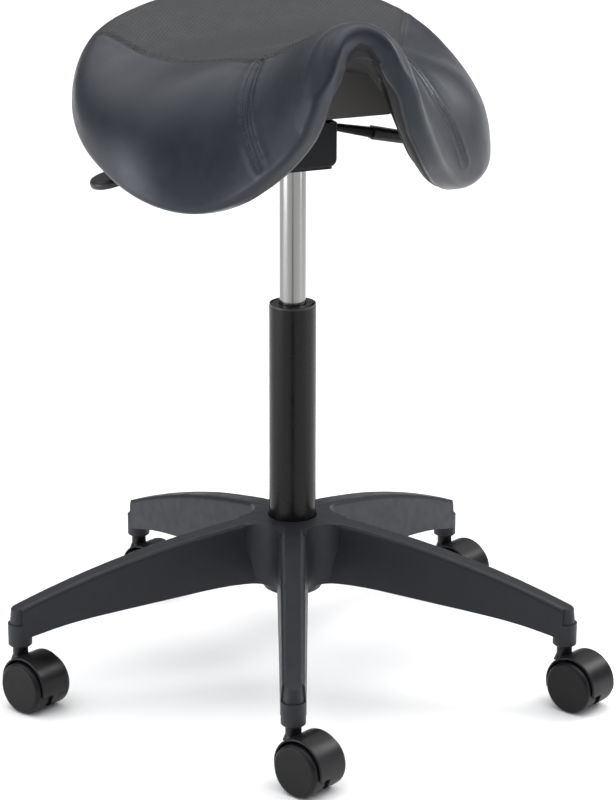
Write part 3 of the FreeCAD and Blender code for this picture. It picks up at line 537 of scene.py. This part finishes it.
# ------------------------------------------------------------------ materials
def node_mat(name, base, rough, metal=0.0, vary=0.12, vary_scale=9.0, rough_vary=0.06,
             bump=0.02, bump_scale=900.0, grain=0.0, grain_scale=650.0, holes=False,
             coat=0.0, coat_rough=0.25, sheen=0.0, spec=0.32, aniso=0.0, stretch=None, tint=None):
    m = bpy.data.materials.new(name)
    m.use_nodes = True
    nt = m.node_tree
    nt.nodes.clear()
    N = nt.nodes.new
    L = nt.links.new
    out = N("ShaderNodeOutputMaterial")
    b = N("ShaderNodeBsdfPrincipled")
    L(b.outputs[0], out.inputs[0])
    b.inputs["Metallic"].default_value = metal
    b.inputs["Specular IOR Level"].default_value = spec
    b.inputs["Coat Weight"].default_value = coat
    b.inputs["Coat Roughness"].default_value = coat_rough
    b.inputs["Sheen Weight"].default_value = sheen
    b.inputs["Anisotropic"].default_value = aniso
    if tint:
        b.inputs["Specular Tint"].default_value = (*tint, 1)
    tc = N("ShaderNodeTexCoord")
    src = tc.outputs["Object"]
    if stretch:
        mp = N("ShaderNodeMapping")
        mp.inputs["Scale"].default_value = stretch
        L(src, mp.inputs["Vector"])
        src = mp.outputs[0]
    n1 = N("ShaderNodeTexNoise")
    n1.inputs["Scale"].default_value = vary_scale
    n1.inputs["Detail"].default_value = 5.0
    L(src, n1.inputs["Vector"])
    ramp = N("ShaderNodeMix")
    ramp.data_type = "RGBA"
    ramp.inputs["A"].default_value = [c * (1 - vary) for c in base] + [1]
    ramp.inputs["B"].default_value = [min(1, c * (1 + vary)) for c in base] + [1]
    L(n1.outputs["Fac"], ramp.inputs["Factor"])
    col = ramp.outputs["Result"]
    mr = N("ShaderNodeMapRange")
    mr.inputs["From Min"].default_value = 0.3
    mr.inputs["From Max"].default_value = 0.7
    mr.inputs["To Min"].default_value = max(0.02, rough - rough_vary)
    mr.inputs["To Max"].default_value = min(1, rough + rough_vary)
    n2 = N("ShaderNodeTexNoise")
    n2.inputs["Scale"].default_value = vary_scale * 6.0
    n2.inputs["Detail"].default_value = 6.0
    L(src, n2.inputs["Vector"])
    L(n2.outputs["Fac"], mr.inputs["Value"])
    L(mr.outputs[0], b.inputs["Roughness"])
    n3 = N("ShaderNodeTexNoise")
    n3.inputs["Scale"].default_value = bump_scale
    n3.inputs["Detail"].default_value = 4.0
    L(src, n3.inputs["Vector"])
    bp = N("ShaderNodeBump")
    bp.inputs["Strength"].default_value = 1.0
    bp.inputs["Distance"].default_value = bump * 0.001
    L(n3.outputs["Fac"], bp.inputs["Height"])
    last = bp
    if grain > 0:
        wn = N("ShaderNodeTexNoise")
        wn.inputs["Scale"].default_value = grain_scale * 0.5
        L(src, wn.inputs["Vector"])
        mixv = N("ShaderNodeMix")
        mixv.data_type = "VECTOR"
        mixv.inputs["Factor"].default_value = 0.0006
        L(src, mixv.inputs[4])
        L(wn.outputs["Color"], mixv.inputs[5])
        v = N("ShaderNodeTexVoronoi")
        v.feature = "DISTANCE_TO_EDGE"
        v.inputs["Scale"].default_value = grain_scale
        L(mixv.outputs[1], v.inputs["Vector"])
        cr = N("ShaderNodeMapRange")
        cr.inputs["From Min"].default_value = 0.0
        cr.inputs["From Max"].default_value = 0.18
        L(v.outputs["Distance"], cr.inputs["Value"])
        b2 = N("ShaderNodeBump")
        b2.inputs["Strength"].default_value = 1.0
        b2.inputs["Distance"].default_value = grain * 0.001
        L(cr.outputs[0], b2.inputs["Height"])
        L(last.outputs[0], b2.inputs["Normal"])
        last = b2
    if holes:
        sep = N("ShaderNodeSeparateXYZ")
        L(tc.outputs["Object"], sep.inputs[0])
        cmb = N("ShaderNodeCombineXYZ")
        L(sep.outputs[0], cmb.inputs[0])
        L(sep.outputs[1], cmb.inputs[1])
        rot = N("ShaderNodeMapping")
        rot.inputs["Rotation"].default_value = (0, 0, math.radians(45))
        L(cmb.outputs[0], rot.inputs["Vector"])
        v = N("ShaderNodeTexVoronoi")
        v.voronoi_dimensions = "2D"
        v.inputs["Scale"].default_value = 1 / 0.0036
        v.inputs["Randomness"].default_value = 0.0
        L(rot.outputs[0], v.inputs["Vector"])
        cr = N("ShaderNodeMapRange")
        cr.inputs["From Min"].default_value = 0.16
        cr.inputs["From Max"].default_value = 0.36
        L(v.outputs["Distance"], cr.inputs["Value"])
        b3 = N("ShaderNodeBump")
        b3.inputs["Strength"].default_value = 1.0
        b3.inputs["Distance"].default_value = 0.00045
        L(cr.outputs[0], b3.inputs["Height"])
        L(last.outputs[0], b3.inputs["Normal"])
        last = b3
        dk = N("ShaderNodeMix")
        dk.data_type = "RGBA"
        L(cr.outputs[0], dk.inputs["Factor"])
        dk.inputs["A"].default_value = [c * 0.35 for c in base] + [1]
        L(col, dk.inputs["B"])
        col = dk.outputs["Result"]
    L(last.outputs[0], b.inputs["Normal"])
    L(col, b.inputs["Base Color"])
    return m


M = {}
M["leather"] = node_mat("leather_smooth", (0.0098, 0.0112, 0.0155), 0.36, tint=(0.84, 0.90, 1.0), bump=0.035, bump_scale=420, grain=0.035, grain_scale=900,
                        coat=0.06, coat_rough=0.3, spec=0.42, sheen=0.04)
M["leather_holes"] = node_mat("leather_perforated", (0.0135, 0.0142, 0.0165), 0.46, bump=0.03, bump_scale=500, grain=0.02,
                              grain_scale=900, holes=True, spec=0.42, sheen=0.05)
M["lining"] = node_mat("seat_under_cover", (0.010, 0.010, 0.012), 0.62, bump=0.06, bump_scale=1200, spec=0.35)
M["thread"] = node_mat("seat_thread", (0.040, 0.043, 0.050), 0.55, bump=0.05, bump_scale=2500, vary=0.3, vary_scale=400)
M["nylon"] = node_mat("glass_nylon", (0.0125, 0.0135, 0.0155), 0.45, bump=0.05, bump_scale=1100, vary=0.10, vary_scale=14, rough_vary=0.07, spec=0.34, tint=(0.86, 0.92, 1.0))
M["column"] = node_mat("column_coat", (0.003, 0.003, 0.0035), 0.27, spec=0.2, bump=0.012, bump_scale=900, vary=0.1, rough_vary=0.04, coat=0.0, coat_rough=0.25)
M["plastic"] = node_mat("black_moulding", (0.0085, 0.0088, 0.010), 0.36, spec=0.42, bump=0.03, bump_scale=1400, rough_vary=0.05)
M["chrome"] = node_mat("ground_tube", (0.23, 0.228, 0.224), 0.20, metal=1.0, vary=0.06, vary_scale=30, rough_vary=0.05,
                       bump=0.004, bump_scale=500, aniso=0.55, stretch=(1, 1, 0.05))
M["steel"] = node_mat("turned_steel", (0.46, 0.455, 0.45), 0.33, metal=1.0, vary=0.08, vary_scale=60, bump=0.01, bump_scale=1500)
M["black_steel"] = node_mat("painted_steel", (0.005, 0.0065, 0.009), 0.36, spec=0.16, bump=0.03, bump_scale=1600, vary=0.12, coat=0.05)
M["hood"] = node_mat("castor_moulding", (0.0055, 0.0056, 0.0064), 0.34, spec=0.26, bump=0.02, bump_scale=1300, vary=0.12, rough_vary=0.06)
M["wheel"] = node_mat("wheel_moulding", (0.0045, 0.0046, 0.0054), 0.40, spec=0.2, bump=0.03, bump_scale=1300, vary=0.15, vary_scale=40, rough_vary=0.08)
M["rubber"] = node_mat("rubber", (0.012, 0.012, 0.012), 0.75, bump=0.05)
M["shell"] = node_mat("shell_moulding", (0.02, 0.02, 0.021), 0.55, bump=0.05, bump_scale=800)
M["block"] = node_mat("block_moulding", (0.085, 0.081, 0.076), 0.62, bump=0.08, bump_scale=700, vary=0.12, vary_scale=25)

SLOT_MAT = {"nylon_base": "nylon", "column_black": "column", "black_plastic": "plastic", "bright_steel": "chrome",
            "plain_steel": "steel", "black_steel": "black_steel", "castor_nylon": "hood", "wheel_nylon": "wheel",
            "rubber": "rubber", "seat_leather": "leather", "shell_plastic": "shell", "block_plastic": "block"}
for sub in frame["record"]["subparts"]:
    ob = nodes[sub["node"]]
    mat = M[SLOT_MAT[sub["material_slot"]]]
    if ob.data.materials:
        for k in range(len(ob.data.materials)):
            ob.data.materials[k] = mat
    else:
        ob.data.materials.append(mat)
for key in ("leather", "leather_holes", "lining"):
    cover.data.materials.append(M[key])
thread.data.materials.append(M["thread"])

# ------------------------------------------------------------------ floor, light, camera
def flat_mat(name, c, rough=0.9):
    m = bpy.data.materials.new(name)
    m.use_nodes = True
    b = m.node_tree.nodes["Principled BSDF"]
    b.inputs["Base Color"].default_value = (*c, 1)
    b.inputs["Roughness"].default_value = rough
    b.inputs["Specular IOR Level"].default_value = 0.1
    return m


bpy.ops.mesh.primitive_plane_add(size=60, location=(0, 0, -0.0004))
floor = bpy.context.object
floor.name = "studio_floor"
floor.data.materials.append(flat_mat("floor_paper", (0.93, 0.93, 0.93)))


def area(name, place, aim, size, power, color=(1, 1, 1), size_y=None):
    d = bpy.data.lights.new(name, "AREA")
    d.energy = power
    d.color = color
    d.size = size
    if size_y:
        d.shape = "RECTANGLE"
        d.size_y = size_y
    o = bpy.data.objects.new(name, d)
    bpy.context.scene.collection.objects.link(o)
    o.location = place
    o.rotation_euler = (Vector(aim) - Vector(place)).to_track_quat("-Z", "Y").to_euler()
    return o


# a dark card on the floor in front of the object, out of the picture, so that upright
# faces turned to the viewer reflect it and not the pale floor
bpy.ops.mesh.primitive_plane_add(size=1)
card = bpy.context.object
card.name = "studio_card"
card.scale = (0.30, 2.1, 1)
card.rotation_euler = (0, 0, math.radians(-22.3))
card.location = Matrix.Rotation(math.radians(-22.3), 3, "Z") @ Vector((0.0, -1.75, 0.002))
card.data.materials.append(flat_mat("card_felt", (0.03, 0.03, 0.032)))
card.visible_camera = False
card.visible_shadow = False

world = bpy.data.worlds.new("studio")
bpy.context.scene.world = world
world.use_nodes = True
wn = world.node_tree
bg = wn.nodes["Background"]
wt = wn.nodes.new("ShaderNodeTexCoord")
ws = wn.nodes.new("ShaderNodeSeparateXYZ")
wn.links.new(wt.outputs["Generated"], ws.inputs[0])
wr = wn.nodes.new("ShaderNodeValToRGB")
wr.color_ramp.interpolation = "EASE"
wr.color_ramp.elements[0].position = 0.40
wr.color_ramp.elements[0].color = (0.085, 0.09, 0.10, 1)
wr.color_ramp.elements[1].position = 0.98
wr.color_ramp.elements[1].color = (1.0, 1.0, 1.0, 1)
wn.links.new(ws.outputs["Z"], wr.inputs[0])
wn.links.new(wr.outputs[0], bg.inputs[0])
bg.inputs[1].default_value = 2.5

F, DH, HH, TAU, ROLL, PAN, TURN = 3053.19, 3.09406, 1.29235, 0.3085, -0.0026, 0.0053, -22.3
up = Vector((0, 0, 1))
fwd = Vector((math.sin(PAN), math.cos(PAN), 0))
right = Vector((math.cos(PAN), -math.sin(PAN), 0))
fw = fwd * math.cos(TAU) - up * math.sin(TAU)
uu = up * math.cos(TAU) + fwd * math.sin(TAU)
ex = right * math.cos(ROLL) - uu * math.sin(ROLL)
ey = right * math.sin(ROLL) + uu * math.cos(ROLL)
R = Matrix((ex, ey, -fw)).transposed()
turn = Matrix.Rotation(math.radians(TURN), 3, "Z")
cam_data = bpy.data.cameras.new("camera")
cam = bpy.data.objects.new("camera", cam_data)
bpy.context.scene.collection.objects.link(cam)
cam_data.sensor_fit = "AUTO"
cam_data.sensor_width = 36.0
cam_data.lens = 36.0 * F / 800.0
cam_data.clip_end = 100
cam.matrix_world = Matrix.Translation(turn @ Vector((0, -DH, HH))) @ (turn @ R).to_4x4()
bpy.context.scene.camera = cam


def from_camera(x, y, z):
    """A place given to the right of, beyond and above the object as the camera sees it."""
    return tuple(turn @ Vector((x, y, z)))


area("low_key", from_camera(-2.0, -1.0, 0.30), (0, 0, 0.62), 1.1, 17, (0.97, 0.985, 1.0))
area("right_high", from_camera(1.7, 0.5, 1.5), (0, 0, 0.65), 0.9, 17)
area("right_strip", from_camera(1.9, -0.5, 0.6), (0, 0, 0.3), 0.3, 5, size_y=1.1)
area("left_strip", from_camera(-1.9, -0.3, 0.6), (0, 0, 0.3), 0.3, 5, size_y=1.1)

sc = bpy.context.scene
sc.view_settings.view_transform = "Standard"
sc.view_settings.look = "None"
sc.view_settings.exposure = 0.0
